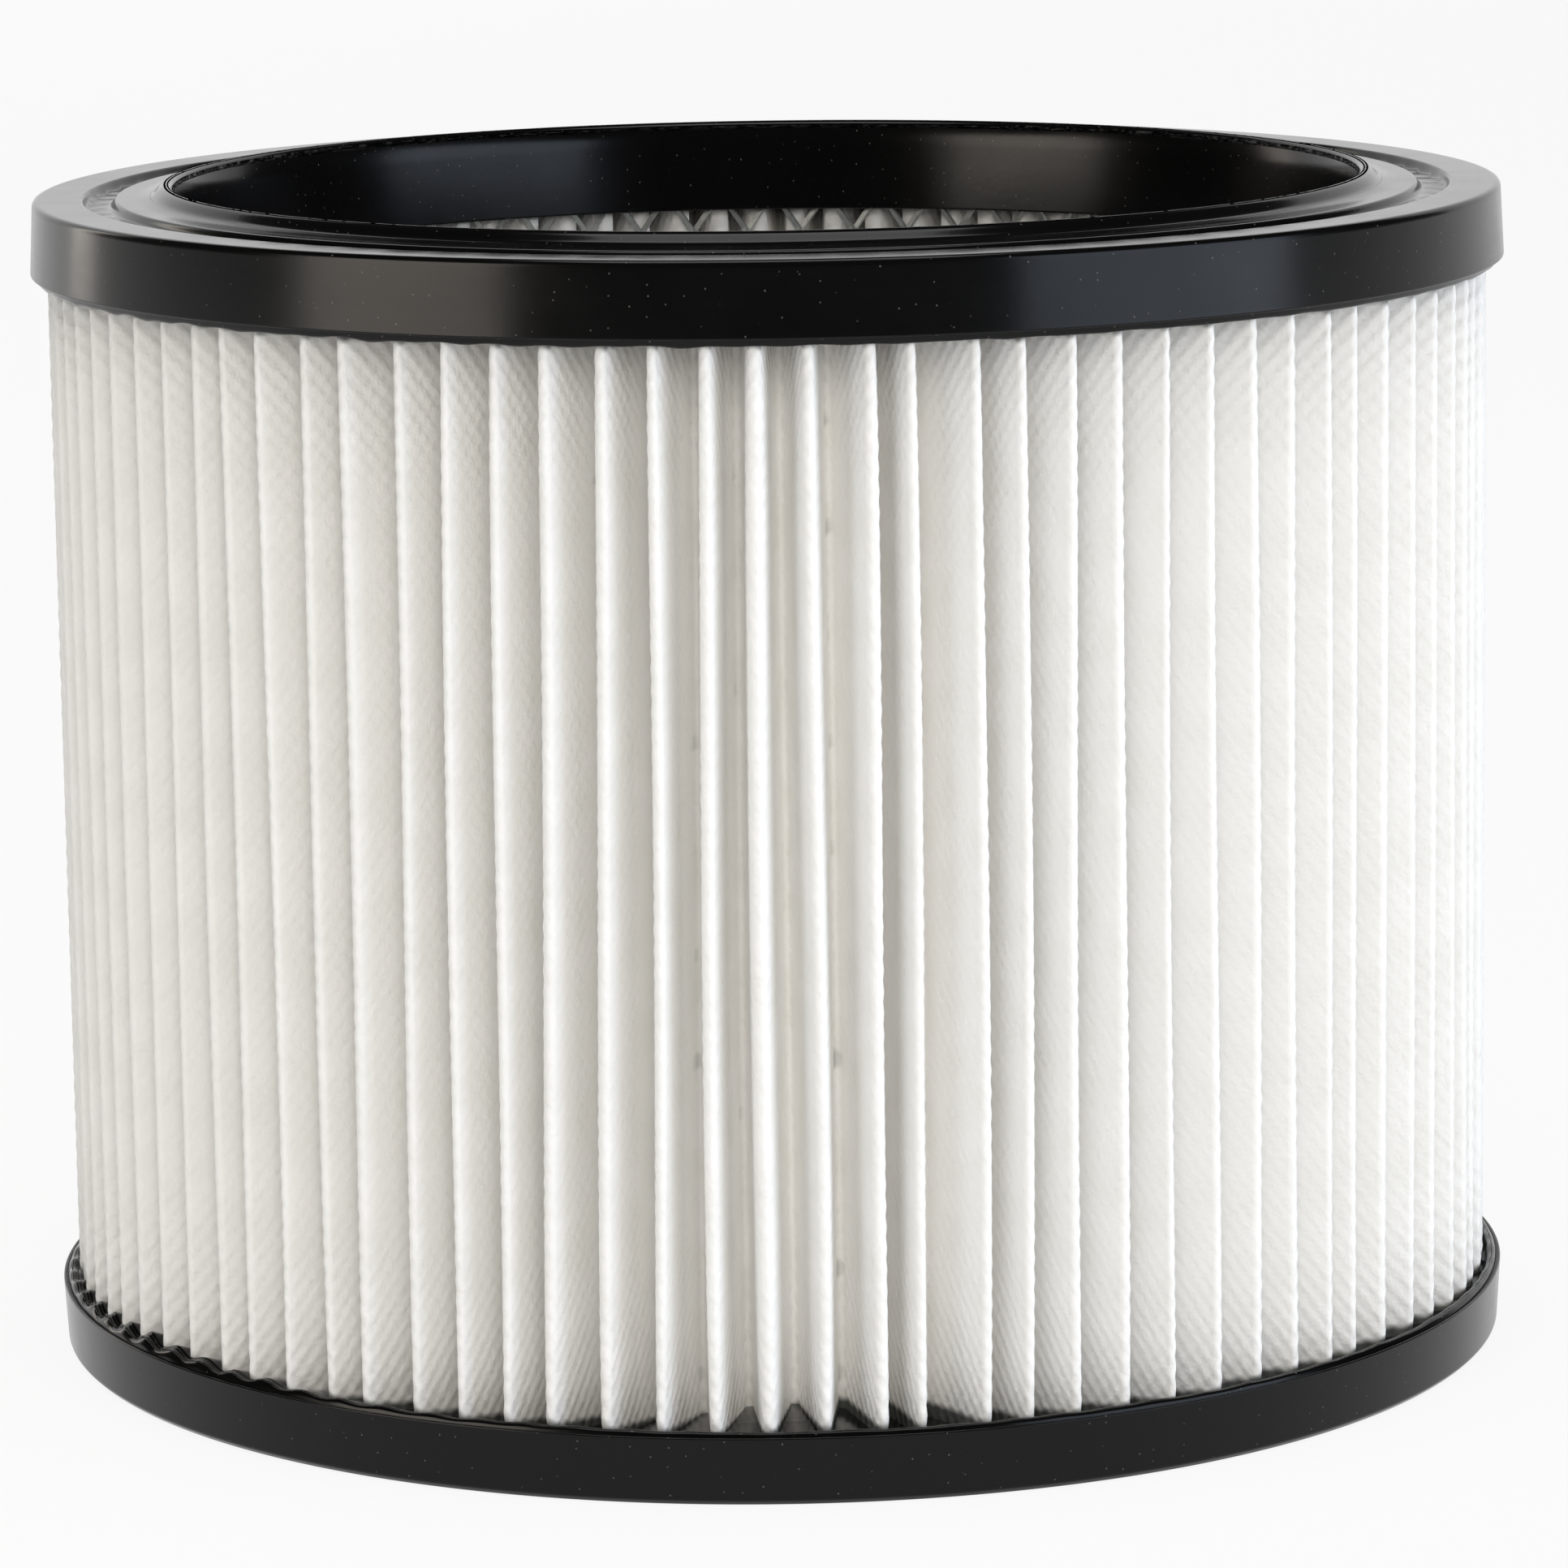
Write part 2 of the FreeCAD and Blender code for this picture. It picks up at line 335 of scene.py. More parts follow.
edge_u = np.stack([along[:-1], along[1:], along[1:], along[:-1]], axis=1)
edge_uv = [
    np.stack([edge_u, np.full_like(edge_u, level / MM)], axis=-1)
    for level in (FOLD_BOTTOM, PACK_TOP)
]
sheet_map = np.concatenate([sheet_uv(SHEET_ROWS, False), sheet_uv(LINING_ROWS, True), *edge_uv])
sheet_points = np.concatenate([outside.reshape(-1, 3), lining.reshape(-1, 3)])

CLOUD_WAVES = 12
CLOUD_LENGTHS_MM = (6.0, 22.0)
CLOUD_CONTRAST = 0.17


def sheet_cloud(rows):
    """Cloudiness from 0 to 1, by row and column: a sum of sloping waves of random length."""
    luck = np.random.default_rng(33)
    length = luck.uniform(*CLOUD_LENGTHS_MM, (2, CLOUD_WAVES)) * luck.choice([-1, 1], (2, CLOUD_WAVES))
    phase = luck.uniform(0, 2 * np.pi, CLOUD_WAVES)
    height = np.linspace(FOLD_BOTTOM, PACK_TOP, rows)[:, None, None] / MM
    wave = np.sin(2 * np.pi * (along[None, :-1, None] / length[0] + height / length[1]) + phase)
    return np.clip(0.5 + CLOUD_CONTRAST * wave.sum(axis=-1), 0, 1)


# Share of the way from a tip to a valley, for the nine columns of each pleat
DOWN_FLANK = np.array([0.1, 0.03, 0, 0.03, 0.1, 0.55, 1, 1, 0.55])
SOAK_SCATTER_MM = 0.25
TIP_SOAK_MM = 4.2
VALLEY_SOAK_MM = 1.4
FRONT_SOAK_MM = 2.4
FRONT_SOAK_PLEATS = 2.8
TOP_SOAK_MM = 2.3
LINING_TOP_SOAK_MM = 1.5
TOP_VALLEY_MORE_MM = 0.4


def soak_line(seed, on_tips, in_valleys):
    """How far the resin has soaked into each column from one end, in millimetres.

    It changes evenly from the tips to the valleys, with a random share for each pleat.
    """
    luck = np.random.default_rng(seed)
    profile = on_tips + (in_valleys - on_tips) * DOWN_FLANK
    return (profile + luck.uniform(-SOAK_SCATTER_MM, SOAK_SCATTER_MM, (PLEATS, 1))).ravel()


def sheet_soak(rows, top_soak):
    """Distance in millimetres from the nearer soak line, positive on clean fleece.

    In the valleys at the front's middle the resin has soaked further, falling off as a
    bell curve to both sides.
    """
    height = np.linspace(FOLD_BOTTOM, PACK_TOP, rows)[:, None] / MM
    from_bottom = height - FOLD_BOTTOM / MM - soak_line(5, TIP_SOAK_MM, VALLEY_SOAK_MM)
    further = FRONT_SOAK_MM * np.exp(-(front_pleat[:, None] / FRONT_SOAK_PLEATS) ** 2) * DOWN_FLANK
    from_bottom = from_bottom - further.ravel()
    from_top = PACK_TOP / MM - height - soak_line(6, top_soak, top_soak + TOP_VALLEY_MORE_MM)
    return np.minimum(from_bottom, from_top)


MARK_HALF_LENGTH = 2.1 * MM
MARK_REACH = 0.17  # in cells of the core, to either side
SHADOW_STRENGTHS = (0.4, 1.0)
MARK_ROWS = 16
MARK_COLUMNS = np.array([0, 0, 0, 0, 0, 0, 1, 0.7, 0])


def bond_shadow_marks(rows):
    """Painted shadow from 0 to 1 of each bond of the core, where it shows through the floor of a valley.

    A mark is a bell curve of how far the bond lies aside of the valley, times one of the
    height above the bond's middle, times a random strength for each bond and valley.
    """
    height = np.linspace(FOLD_BOTTOM, PACK_TOP, rows)[:, None]
    tips = FIRST_TIP_ANGLE + 2 * np.pi * pleat / PLEATS + tip_shift
    valleys = (tips + np.append(tips[1:], tips[0] + 2 * np.pi)) / 2
    cell = (valleys - FIRST_BOND_ANGLE) * CORE_CELLS / (2 * np.pi)
    shadow_strength = np.random.default_rng(44).uniform(*SHADOW_STRENGTHS, (2, MARK_ROWS, PLEATS))
    marks = np.zeros((rows, PLEATS))
    for half in (0, 1):
        aside = (cell + 0.5 * half + 0.5) % 1 - 0.5
        lined_up = np.exp(-(aside / MARK_REACH) ** 2)
        bond = FIRST_BOND_TOP - BOND_LENGTH / 2 - half * ROW_PITCH
        above = (height - bond + ROW_PITCH) % (2 * ROW_PITCH) - ROW_PITCH
        bonds_down = np.round((bond - height[:, 0]) / (2 * ROW_PITCH)).astype(int)
        along_bond = np.exp(-(above / MARK_HALF_LENGTH) ** 2)
        marks = marks + shadow_strength[half, bonds_down] * lined_up * along_bond
    return (marks[:, :, None] * MARK_COLUMNS).reshape(rows, -1)


# Painted shadow of the core's bonds on the outside face; the lining gets none
sheet_bond_shadows = np.concatenate([bond_shadow_marks(SHEET_ROWS).ravel(), np.zeros(LINING_ROWS * columns)])
sheet_clouds = np.concatenate([sheet_cloud(SHEET_ROWS).ravel(), sheet_cloud(LINING_ROWS).ravel()])
outside_soak = sheet_soak(SHEET_ROWS, TOP_SOAK_MM)
lining_soak = sheet_soak(LINING_ROWS, LINING_TOP_SOAK_MM)
sheet_soaks = np.concatenate([outside_soak.ravel(), lining_soak.ravel()])
sheet_quads = np.concatenate([outside_quads, lining_quads, bottom_edge, top_edge])

# Point-bonded polyester fleece: matt white felt of fine fibres, pressed together in
# staggered dots, which sit in shallow dimples; cloudy where the fibres lie thicker.  At
# both ends it has soaked up a little polyurethane, in a wavy grey line.  Faint grey marks in
# the valleys are painted shadow: the shadows of the core's bonds, showing through the fleece
fleece = bpy.data.materials.new("point_bonded_polyester_fleece")
fleece.use_nodes = True
felt = fleece.node_tree.nodes["Principled BSDF"]
felt.inputs["Roughness"].default_value = 0.92
felt.inputs["Specular IOR Level"].default_value = 0.0
sheet_mm = add_node(fleece, "ShaderNodeUVMap", {}, uv_map="surface_mm")
split = add_node(fleece, "ShaderNodeSeparateXYZ", {"Vector": sheet_mm.outputs["UV"]})
dot_turns = 2 * np.pi / DOT_PITCH_MM
u_turn = add_node(fleece, "ShaderNodeMath", {0: split.outputs["X"], 1: dot_turns}, operation="MULTIPLY")
v_turn = add_node(fleece, "ShaderNodeMath",
                  {0: split.outputs["Y"], 1: dot_turns, 2: -dot_turns * FOLD_BOTTOM / MM},
                  operation="MULTIPLY_ADD")
u_wave = add_node(fleece, "ShaderNodeMath", {0: u_turn.outputs[0]}, operation="COSINE")
v_wave = add_node(fleece, "ShaderNodeMath", {0: v_turn.outputs[0]}, operation="COSINE")
stagger = add_node(fleece, "ShaderNodeMath",
                   {0: u_wave.outputs[0], 1: v_wave.outputs[0]}, operation="MULTIPLY")
FIBRE_CLUMP_MM = 0.7
fibre = add_node(fleece, "ShaderNodeTexNoise",
                 {"Vector": sheet_mm.outputs["UV"], "Scale": 1 / FIBRE_CLUMP_MM, "Detail": 1.0},
                 noise_dimensions="2D")
soak = add_node(fleece, "ShaderNodeAttribute", {}, attribute_name="soak")
DEEP_DOTS_REACH_MM = 22.0  # the dots are deeper near the ends, where the sheet is pressed
pressed = add_node(fleece, "ShaderNodeMapRange",
                   {"Value": soak.outputs["Fac"], "From Max": DEEP_DOTS_REACH_MM,
                    "To Min": -1.1, "To Max": -0.4})
dimple = add_node(fleece, "ShaderNodeMath",
                  {0: stagger.outputs[0], 1: pressed.outputs["Result"], 2: fibre.outputs["Fac"]},
                  operation="MULTIPLY_ADD")
DIMPLE_DEPTH = 0.00015
relief = add_node(fleece, "ShaderNodeBump",
                  {"Height": dimple.outputs[0], "Distance": DIMPLE_DEPTH, "Strength": 0.6})
fleece.node_tree.links.new(relief.outputs["Normal"], felt.inputs["Normal"])
cloud = add_node(fleece, "ShaderNodeAttribute", {}, attribute_name="cloud")
clouded = add_node(fleece, "ShaderNodeMix",
                   {"Factor": cloud.outputs["Fac"], 6: linear("#F9F8F5"), 7: linear("#FDFCFA")},
                   data_type="RGBA")
RAGGED_EDGE_MM = 0.12
SOAK_FROM_MM = 0.45
SOAK_FULL_MM = -0.6
ragged = add_node(fleece, "ShaderNodeMath",
                  {0: stagger.outputs[0], 1: RAGGED_EDGE_MM, 2: soak.outputs["Fac"]},
                  operation="MULTIPLY_ADD")
soaked = add_node(fleece, "ShaderNodeMapRange",
                  {"Value": ragged.outputs[0], "From Min": SOAK_FROM_MM, "From Max": SOAK_FULL_MM},
                  interpolation_type="SMOOTHSTEP")
# Painted shadow: the bond attribute darkens the valley floors towards grey #7C827D, where the core's
# bonds would shade the fleece from behind
bond = add_node(fleece, "ShaderNodeAttribute", {}, attribute_name="bond")
bond_shadow_share = add_node(fleece, "ShaderNodeMapRange",
                      {"Value": bond.outputs["Fac"], "From Min": 0.48, "To Max": 0.8})
bond_shadowed = add_node(fleece, "ShaderNodeMix",
                  {"Factor": bond_shadow_share.outputs["Result"], 6: clouded.outputs[2], 7: linear("#7C827D")},
                  data_type="RGBA")
stained = add_node(fleece, "ShaderNodeMix",
                   {"Factor": soaked.outputs["Result"], 6: bond_shadowed.outputs[2], 7: linear("#5E605E")},
                   data_type="RGBA")
fleece.node_tree.links.new(stained.outputs[2], felt.inputs["Base Color"])

medium = piece_from_mesh("pleated_fleece", sheet_points, sheet_quads, fleece, sheet_map,
                         cloud=sheet_clouds, soak=sheet_soaks, bond=sheet_bond_shadows)
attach(medium, "root")
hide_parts("pleated_medium")

# Bottom cap: a ring of black polyurethane, poured into a round mould, into which the ends
# of the pleats and the core are then stood.  The foaming resin creeps up between the
# pleats, most on one side, and leaves a rolled bead where it meets the mould's edge.
CAP_STEPS = 700
RIM_RADIUS_MM = 92.5
CORNER_SHARES = np.array([-0.35, 0.0, 0.25, 0.5, 0.75, 1.0, 1.35])
ring_angle = np.linspace(0, 2 * np.pi, CAP_STEPS, endpoint=False)


def rounded_outline(corners):
    """A closed outline of radius and height with rounded corners.

    Each corner, given as radius, height and setback in millimetres, becomes a parabola
    that touches both sides at the setback.  One more point on each side keeps the flats flat.
    """
    corner = np.array(corners)[:, None, :2] * MM
    setback = np.array(corners)[:, None, 2:] * MM
    before = np.roll(corner, 1, axis=0) - corner
    after = np.roll(corner, -1, axis=0) - corner
    start = corner + setback * before / np.linalg.norm(before, axis=-1, keepdims=True)
    end = corner + setback * after / np.linalg.norm(after, axis=-1, keepdims=True)
    share = np.clip(CORNER_SHARES, 0, 1)[None, :, None]
    curve = (1 - share) ** 2 * start + 2 * share * (1 - share) * corner + share ** 2 * end
    beyond = (CORNER_SHARES - np.clip(CORNER_SHARES, 0, 1))[None, :, None]
    curve = curve + np.minimum(beyond, 0) * (corner - start) + np.maximum(beyond, 0) * (end - corner)
    return curve.reshape(-1, 2)


def pleat_wave(angle, share):
    """A cosine from 0 at each pleat's tip to 1 in each valley, at a share of the height."""
    tips = np.sort(tip_angle(np.array([[share]]))[:, 0] % (2 * np.pi))
    tips = np.concatenate([tips[-1:] - 2 * np.pi, tips, tips[:1] + 2 * np.pi])
    place = np.interp(angle % (2 * np.pi), tips, np.arange(len(tips)))
    return 0.5 - 0.5 * np.cos(2 * np.pi * place)


def slow_wave(angle, seed, turns):
    """A smooth random wave round the ring: sines of whole turns with random phases."""
    luck = np.random.default_rng(seed)
    phase = luck.uniform(0, 2 * np.pi, len(turns))
    return np.sin(np.array(turns)[:, None] * angle[None, :] + phase[:, None]).sum(axis=0) / len(turns)


def cast_ring(radius, height):
    """Points, faces and UV of a ring, from radius and height by outline point and angle.

    The UV is millimetres round the ring and along the outline.
    """
    points = np.stack([radius * np.cos(ring_angle), radius * np.sin(ring_angle), height], axis=-1)
    points = np.concatenate([points, points[:1]])
    quads = grid_quads(len(points), CAP_STEPS, True)
    count = len(points) - 1
    step = np.hypot(np.diff(points[:, 0, 0]), np.diff(points[:, 0, 2])) / MM
    run = np.concatenate([[0.0], np.cumsum(step)])
    around = np.linspace(0, 2 * np.pi * RIM_RADIUS_MM, CAP_STEPS + 1)
    left, low = np.meshgrid(around[:-1], run[:-1])
    right, high = np.meshgrid(around[1:], run[1:])
    uv = np.stack([left, low, right, low, right, high, left, high], axis=-1)
    quads = quads.reshape(count, CAP_STEPS, 4) % (count * CAP_STEPS)
    return points[:-1], quads, uv


def steepness(radius, height):
    """How steeply the outline stands at each point, from 0 on a level face to 1 on a wall."""
    rise = np.roll(height, -1, axis=0) - np.roll(height, 1, axis=0)
    reach = np.roll(radius, -1, axis=0) - np.roll(radius, 1, axis=0)
    return np.abs(rise) / np.hypot(rise, reach)


BOTTOM_CORNERS = [
    (73.1, 0.0, 0.5),
    (91.37, 0.0, 0.25),
    (92.07, 0.7, 0.25),
    (92.5, 8.3, 0.2),
    (92.15, 8.3, 0.1),
    (92.0, 8.05, 0.1),
    (91.75, 8.75, 0.3),
    (90.9, 8.75, 0.4),
    (90.5, 7.8, 0.3),
    (84.0, 6.2, 0.8),
    (75.5, 4.9, 0.3),
    (75.2, 8.6, 0.4),
    (73.9, 9.4, 0.25),
    (73.1, 9.5, 0.2),
]
bottom_outline = rounded_outline(BOTTOM_CORNERS)
bottom_r = np.repeat(bottom_outline[:, :1], CAP_STEPS, axis=1)
bottom_z = np.repeat(bottom_outline[:, 1:], CAP_STEPS, axis=1)

# The bead of resin swells between the pleats, most on the left of the front, where resin
# also fills the space behind it; at the front's middle the resin stands higher in the valleys
CREEP_SIDE_DEGREES = -62
CREEP_REACH_DEGREES = 27
EVEN_SWELL_MM = 0.1
CREPT_SWELL_MM = 0.95
SWELL_VARIATION = 0.3
BEAD_WAVER_MM = 0.14
FRONT_RISE = 3.0 * MM
FRONT_RISE_DEGREES = 10
FILL_BEHIND_BEAD = 1.45 * MM
OPEN_SIDE_ABOVE = 4.0 * MM
front_side = np.degrees((ring_angle + np.pi / 2 + np.pi) % (2 * np.pi) - np.pi)
crept = np.exp(-((front_side - CREEP_SIDE_DEGREES) / CREEP_REACH_DEGREES) ** 2)
valley = pleat_wave(ring_angle, 0.0)
variation = 1 + SWELL_VARIATION * slow_wave(ring_angle, 8, (41, 67, 83))
swell = (EVEN_SWELL_MM + CREPT_SWELL_MM * crept) * variation * valley
bead_rise = (swell + BEAD_WAVER_MM * slow_wave(ring_angle, 9, (9, 17, 31, 44))) * MM
front_rise = FRONT_RISE * np.exp(-(front_side / FRONT_RISE_DEGREES) ** 2)


def share_on_resin(radii_mm, shares):
    """Share of a rise at each outline point of the open side, straight between radii."""
    share = np.interp(bottom_outline[:, 0], np.array(radii_mm) * MM, shares)
    return (share * (bottom_outline[:, 1] > OPEN_SIDE_ABOVE))[:, None]


bead_radii_mm = [80.0, 87.0, 90.2, 90.7, 91.3, 91.85, 92.0]
bottom_z = bottom_z + share_on_resin(bead_radii_mm, [0, 0.9, 1, 1, 0.85, 0.25, 0]) * bead_rise
bottom_z = bottom_z + share_on_resin([75.3, 75.8, 84.0, 90.5], [0, 1, 0.6, 0]) * front_rise
bottom_z = bottom_z + share_on_resin([80.0, 87.0, 90.4, 90.9], [0, 1, 0.9, 0]) * FILL_BEHIND_BEAD * crept

# Cast polyurethane: satin black rubber, a little duller on the walls than on the level faces,
# with fine streaks from the turning marks of the mould, smears, shallow pits and pale dust
rubber = bpy.data.materials.new("cast_black_polyurethane")
rubber.use_nodes = True
cast = rubber.node_tree.nodes["Principled BSDF"]
cast.inputs["Specular IOR Level"].default_value = 0.2
ring_mm = add_node(rubber, "ShaderNodeUVMap", {}, uv_map="surface_mm")
STREAK_LENGTH_MM = 60.0
STREAK_WIDTH_MM = 0.5
streak_map = add_node(rubber, "ShaderNodeMapping",
                      {"Vector": ring_mm.outputs["UV"],
                       "Scale": (1 / STREAK_LENGTH_MM, 1 / STREAK_WIDTH_MM, 1.0)})
streak = add_node(rubber, "ShaderNodeTexNoise",
                  {"Vector": streak_map.outputs["Vector"], "Scale": 1.0, "Detail": 2.0},
                  noise_dimensions="2D")
SMEAR_MM = 12.0
smear = add_node(rubber, "ShaderNodeTexNoise",
                 {"Vector": ring_mm.outputs["UV"], "Scale": 1 / SMEAR_MM, "Detail": 2.0},
                 noise_dimensions="2D")
steep = add_node(rubber, "ShaderNodeAttribute", {}, attribute_name="steep")
face_rough = add_node(rubber, "ShaderNodeMapRange",
                      {"Value": steep.outputs["Fac"], "From Min": 0.6, "To Min": 0.06, "To Max": 0.13})
streak_rough = add_node(rubber, "ShaderNodeMath",
                        {0: streak.outputs["Fac"], 1: 0.03, 2: face_rough.outputs["Result"]},
                        operation="MULTIPLY_ADD")
smear_rough = add_node(rubber, "ShaderNodeMath",
                       {0: smear.outputs["Fac"], 1: 0.1, 2: streak_rough.outputs[0]},
                       operation="MULTIPLY_ADD")
PIT_MM = 1.1
PIT_DEPTH = 0.00001
pits = add_node(rubber, "ShaderNodeTexNoise",
                {"Vector": ring_mm.outputs["UV"], "Scale": 1 / PIT_MM, "Detail": 1.0},
                noise_dimensions="2D")
cast_relief = add_node(rubber, "ShaderNodeBump",
                       {"Height": pits.outputs["Fac"], "Distance": PIT_DEPTH, "Strength": 0.3})
DUST_MM = 2.2
dust = add_node(rubber, "ShaderNodeTexVoronoi",
                {"Vector": ring_mm.outputs["UV"], "Scale": 1 / DUST_MM}, voronoi_dimensions="2D")
speck = add_node(rubber, "ShaderNodeMapRange",
                 {"Value": dust.outputs["Distance"], "From Min": 0.06, "From Max": 0.03})
dust_tone = add_node(rubber, "ShaderNodeSeparateColor", {"Color": dust.outputs["Color"]})
some = add_node(rubber, "ShaderNodeMapRange",
                {"Value": dust_tone.outputs["Red"], "From Min": 0.6, "From Max": 1.0, "To Max": 0.7})
speck_share = add_node(rubber, "ShaderNodeMath",
                       {0: speck.outputs["Result"], 1: some.outputs["Result"]}, operation="MULTIPLY")
dusty = add_node(rubber, "ShaderNodeMix",
                 {"Factor": speck_share.outputs[0], 6: linear("#080808"), 7: linear("#706C65")},
                 data_type="RGBA")
rubber.node_tree.links.new(dusty.outputs[2], cast.inputs["Base Color"])
rubber.node_tree.links.new(smear_rough.outputs[0], cast.inputs["Roughness"])
rubber.node_tree.links.new(cast_relief.outputs["Normal"], cast.inputs["Normal"])

bottom_points, bottom_quads, bottom_uv = cast_ring(bottom_r, bottom_z)
bottom_cap = piece_from_mesh("cast_bottom_cap", bottom_points, bottom_quads, rubber, bottom_uv,
                             steep=steepness(bottom_r, bottom_z))
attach(bottom_cap, "root")
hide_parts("bottom_cap")

# Top cap: a ring of the same polyurethane, cast on the other end.  A raised lip round its
# bore seals against the motor head; the groove in its face is left by the ring that holds
# the pleats up in the mould.  Resin creeps a little way down between the pleats.
TOP_CORNERS = [
    (73.1, 135.6, 0.2),
    (73.9, 135.6, 0.2),
    (75.4, 136.4, 0.4),
    (76.4, 137.5, 0.4),
    (84.0, 137.5, 0.8),
    (90.2, 137.0, 0.3),
    (90.9, 136.1, 0.25),
    (91.6, 136.1, 0.2),
    (91.9, 136.9, 0.12),
    (92.5, 136.8, 0.2),
    (92.03, 145.9, 0.7),
    (85.75, 145.9, 0.3),
    (85.3, 144.9, 0.4),
    (82.1, 144.9, 0.4),
    (81.65, 145.9, 0.3),
    (78.3, 145.9, 1.0),
    (76.9, 146.25, 0.4),
    (75.8, 147.5, 0.6),
    (74.6, 147.5, 0.75),
    (73.95, 145.6, 1.2),
]
top_outline = rounded_outline(TOP_CORNERS)
top_r = np.repeat(top_outline[:, :1], CAP_STEPS, axis=1)
top_z = np.repeat(top_outline[:, 1:], CAP_STEPS, axis=1)

# Resin hangs down a little between the pleats, most on the left of the front
EVEN_HANG_MM = 0.1
VALLEY_HANG_MM = 0.15
WAVY_HANG_MM = 0.32
HANG_SIDE_DEGREES = -55
HANG_REACH_DEGREES = 45
CALM_SHARE = 0.35  # what is left of the unevenness far from there
OPEN_SIDE_BELOW = 139 * MM
hang_radii = np.array([75.5, 77.0, 90.0, 91.3, 91.8]) * MM
hang = np.interp(top_outline[:, 0], hang_radii, [0, 1, 1, 1, 0])
hang *= top_outline[:, 1] < OPEN_SIDE_BELOW
from_most = (front_side - HANG_SIDE_DEGREES) / HANG_REACH_DEGREES
uneven = CALM_SHARE + (1 - CALM_SHARE) * np.exp(-from_most ** 2)
valley = pleat_wave(ring_angle, 1.0)
waver = slow_wave(ring_angle, 5, (29, 47, 61, 90))
creep = (EVEN_HANG_MM + VALLEY_HANG_MM * uneven * valley + WAVY_HANG_MM * uneven * waver) * MM
top_z = top_z - hang[:, None] * creep[None, :]

# The ends of the pleats show in the floor of the groove as a row of small dips
DIP_RADIUS = 84.3 * MM
DIP_HALF_WIDTH = 0.9 * MM
DIP_DEPTH = 0.25 * MM
TOP_FACE_ABOVE = 144 * MM
in_groove = np.exp(-((top_outline[:, 0] - DIP_RADIUS) / DIP_HALF_WIDTH) ** 2)
in_groove *= top_outline[:, 1] > TOP_FACE_ABOVE
top_z = top_z - DIP_DEPTH * in_groove[:, None] * (1 - valley ** 2)[None, :]
top_points, top_quads, top_uv = cast_ring(top_r, top_z)
top_cap = piece_from_mesh("cast_top_cap", top_points, top_quads, rubber, top_uv,
                          steep=steepness(top_r, top_z))
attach(top_cap, "root")
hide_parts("top_cap")

# Floor: a wide sheet of pale matt paper under the filter.  Rays from the camera and from
# shiny surfaces see it mostly as an even pale grey; the rest is lit paper, with the shadow.
FLOOR_HALF_WIDTH = 6.0
FLOOR_FRONT = -1.5
FLOOR_BACK = 5.0
EVEN_SHARE = 0.92
floor_corner = np.array([
    [-FLOOR_HALF_WIDTH, FLOOR_FRONT, 0.0],
    [FLOOR_HALF_WIDTH, FLOOR_FRONT, 0.0],
    [FLOOR_HALF_WIDTH, FLOOR_BACK, 0.0],
    [-FLOOR_HALF_WIDTH, FLOOR_BACK, 0.0],
])
paper = bpy.data.materials.new("pale_matt_paper")
paper.use_nodes = True
paper.cycles.emission_sampling = "NONE"
sheet_of_paper = paper.node_tree.nodes["Principled BSDF"]
sheet_of_paper.inputs["Base Color"].default_value = linear("#F4F4F4")
sheet_of_paper.inputs["Roughness"].default_value = 0.95
sheet_of_paper.inputs["Specular IOR Level"].default_value = 0.0
rays = add_node(paper, "ShaderNodeLightPath", {})
seen = add_node(paper, "ShaderNodeMath",
                {0: rays.outputs["Is Camera Ray"], 1: rays.outputs["Is Glossy Ray"]},
                operation="MAXIMUM")
seen = add_node(paper, "ShaderNodeMath",
                {0: seen.outputs[0], 1: rays.outputs["Is Transmission Ray"]}, operation="MAXIMUM")
seen = add_node(paper, "ShaderNodeMath", {0: seen.outputs[0], 1: EVEN_SHARE}, operation="MULTIPLY")
even_grey = add_node(paper, "ShaderNodeEmission", {"Color": linear("#FCFCFC"), "Strength": 1.0})
floor_mix = add_node(paper, "ShaderNodeMixShader",
                     {0: seen.outputs[0], 1: sheet_of_paper.outputs["BSDF"],
                      2: even_grey.outputs["Emission"]})
paper_output = paper.node_tree.nodes["Material Output"]
paper.node_tree.links.new(floor_mix.outputs["Shader"], paper_output.inputs["Surface"])
floor = piece_from_mesh("floor", floor_corner, np.array([[0, 1, 2, 3]]), paper)
BACKDROP_HEIGHT = 4.0
backdrop_corner = np.array([
    [-FLOOR_HALF_WIDTH, FLOOR_BACK, 0.0],
    [FLOOR_HALF_WIDTH, FLOOR_BACK, 0.0],
    [FLOOR_HALF_WIDTH, FLOOR_BACK, BACKDROP_HEIGHT],
    [-FLOOR_HALF_WIDTH, FLOOR_BACK, BACKDROP_HEIGHT],
])
backdrop = piece_from_mesh("backdrop", backdrop_corner, np.array([[0, 1, 2, 3]]), paper)

# Light: soft fills from the camera's side, from above and from behind, a cool softbox on the
# right, and two panels on the left, one of them far round, that only gleam on the castings.
# A dim even sky lifts the shade between the pleats.
target = Vector((0.0, 0.0, 0.07))


def soft_light(name, side_degrees, distance, height, width, tall, watts, colour):
    """An area light, side_degrees to the right of the camera's direction, facing the filter."""
    light = bpy.data.lights.new(name, "AREA")
    light.shape = "RECTANGLE"
    light.size = width
    light.size_y = tall
    light.energy = watts
    light.color = linear(colour)[:3]
    side = np.radians(side_degrees)
    lamp = bpy.data.objects.new(name, light)
    lamp.location = (distance * np.sin(side), -distance * np.cos(side), height)
    lamp.rotation_euler = (target - lamp.location).to_track_quat("-Z", "Y").to_euler()
    lamp.visible_camera = False
    bpy.context.collection.objects.link(lamp)
    return lamp


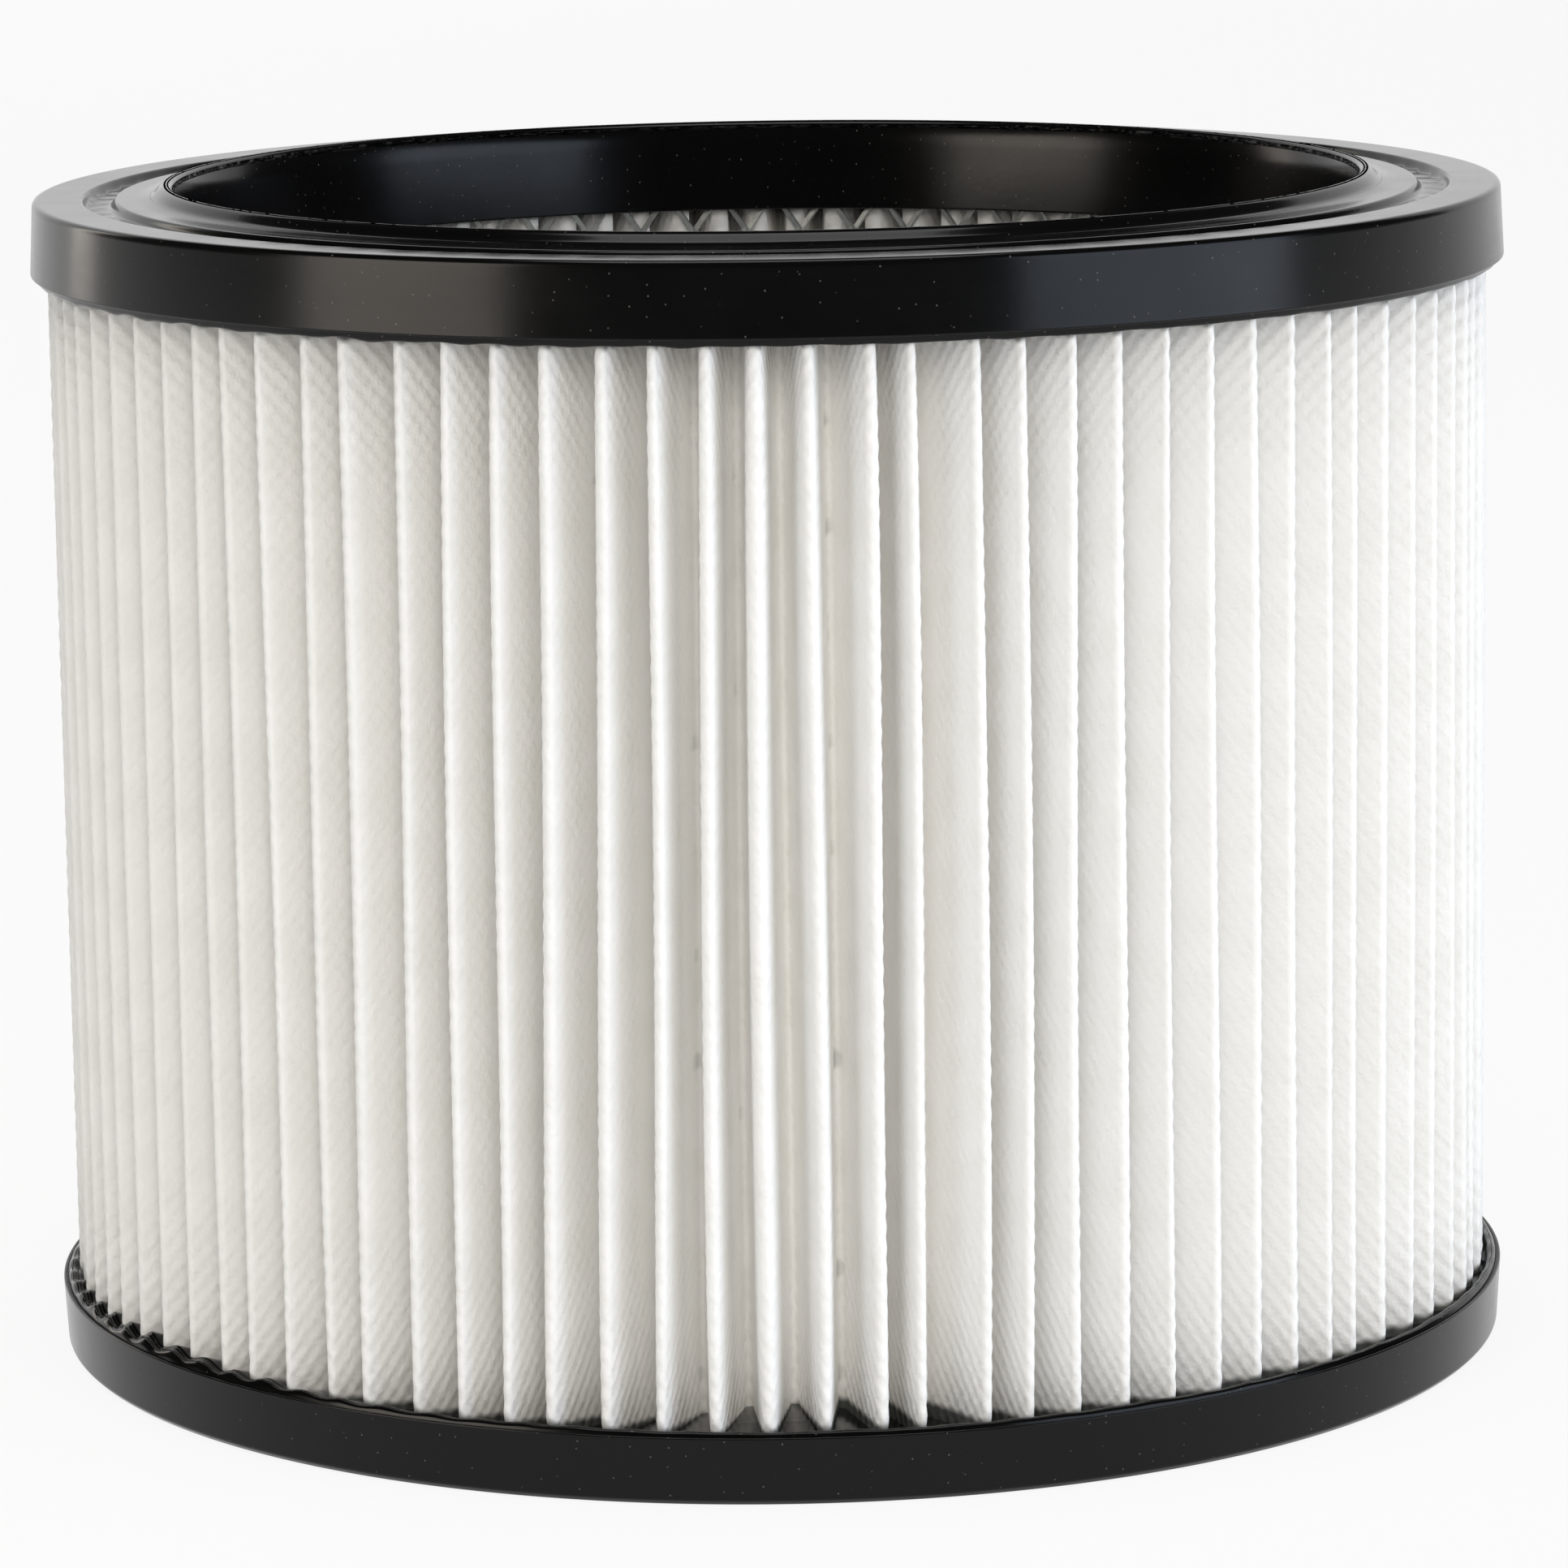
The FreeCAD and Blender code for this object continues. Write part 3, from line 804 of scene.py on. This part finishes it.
front_fill = soft_light("front_fill", side_degrees=2, distance=1.6, height=0.7,
                        width=0.6, tall=0.9, watts=6.6, colour="#FFF9EF")
front_fill.visible_glossy = False
soft_light("overhead", side_degrees=0, distance=0.25, height=1.5,
           width=1.0, tall=1.0, watts=11.0, colour="#FFFFFF")
soft_light("right_softbox", side_degrees=61, distance=1.6, height=0.36,
           width=1.4, tall=0.7, watts=10.0, colour="#DFECFF")
back_fill = soft_light("back_fill", side_degrees=-155, distance=3.4, height=1.4,
                       width=1.8, tall=1.8, watts=28.0, colour="#FFFFFF")
back_fill.visible_glossy = False
left_panel = soft_light("left_panel", side_degrees=-56, distance=1.6, height=0.36,
                        width=1.0, tall=0.7, watts=11.5, colour="#FFF6EA")
left_panel.visible_diffuse = False
back_left_strip = soft_light("back_left_strip", side_degrees=-128, distance=1.4, height=0.36,
                             width=0.22, tall=0.7, watts=1.2, colour="#FFF6EA")
back_left_strip.visible_diffuse = False

SKY_ON_GLOSS = 0.03
SKY_ON_MATT = 0.35
SKY_SEEN = 0.9  # added where the camera looks past the floor
scene = bpy.context.scene
sky = bpy.data.worlds.new("dim_even_sky")
sky.use_nodes = True
sky.node_tree.nodes["Background"].inputs["Color"].default_value = linear("#FFFDF9")
sky_rays = add_node(sky, "ShaderNodeLightPath", {})
sky_on_object = add_node(sky, "ShaderNodeMapRange",
                         {"Value": sky_rays.outputs["Is Diffuse Ray"],
                          "To Min": SKY_ON_GLOSS, "To Max": SKY_ON_MATT})
sky_level = add_node(sky, "ShaderNodeMath",
                     {0: sky_rays.outputs["Is Camera Ray"], 1: SKY_SEEN,
                      2: sky_on_object.outputs["Result"]},
                     operation="MULTIPLY_ADD")
sky.node_tree.links.new(sky_level.outputs[0], sky.node_tree.nodes["Background"].inputs["Strength"])
scene.world = sky
scene.view_settings.view_transform = "Standard"

# Camera: a long lens a little above the top cap and close to the filter, tilted down and
# slightly rolled, so that the filter nearly fills the square picture.
CAMERA_PLACE = Vector((0.0, -0.88175, 0.22823))
CAMERA_YAW = 0.0013
CAMERA_PITCH = 0.1786
CAMERA_ROLL = -0.0148
SENSOR_WIDTH_MM = 36.0
FOCAL_LENGTH_MM = 160.83
level_reach = np.cos(CAMERA_PITCH)
forward = Vector((np.sin(CAMERA_YAW) * level_reach, np.cos(CAMERA_YAW) * level_reach,
                  -np.sin(CAMERA_PITCH)))
level_right = Vector((np.cos(CAMERA_YAW), -np.sin(CAMERA_YAW), 0.0))
level_up = level_right.cross(forward)
right = np.cos(CAMERA_ROLL) * level_right + np.sin(CAMERA_ROLL) * level_up
up = np.cos(CAMERA_ROLL) * level_up - np.sin(CAMERA_ROLL) * level_right
lens = bpy.data.cameras.new("camera")
lens.sensor_width = SENSOR_WIDTH_MM
lens.lens = FOCAL_LENGTH_MM
lens.clip_start = 0.05
camera = bpy.data.objects.new("camera", lens)
camera_turn = Matrix((right, up, -forward)).transposed().to_4x4()
camera.matrix_world = Matrix.Translation(CAMERA_PLACE) @ camera_turn
bpy.context.collection.objects.link(camera)
scene.camera = camera
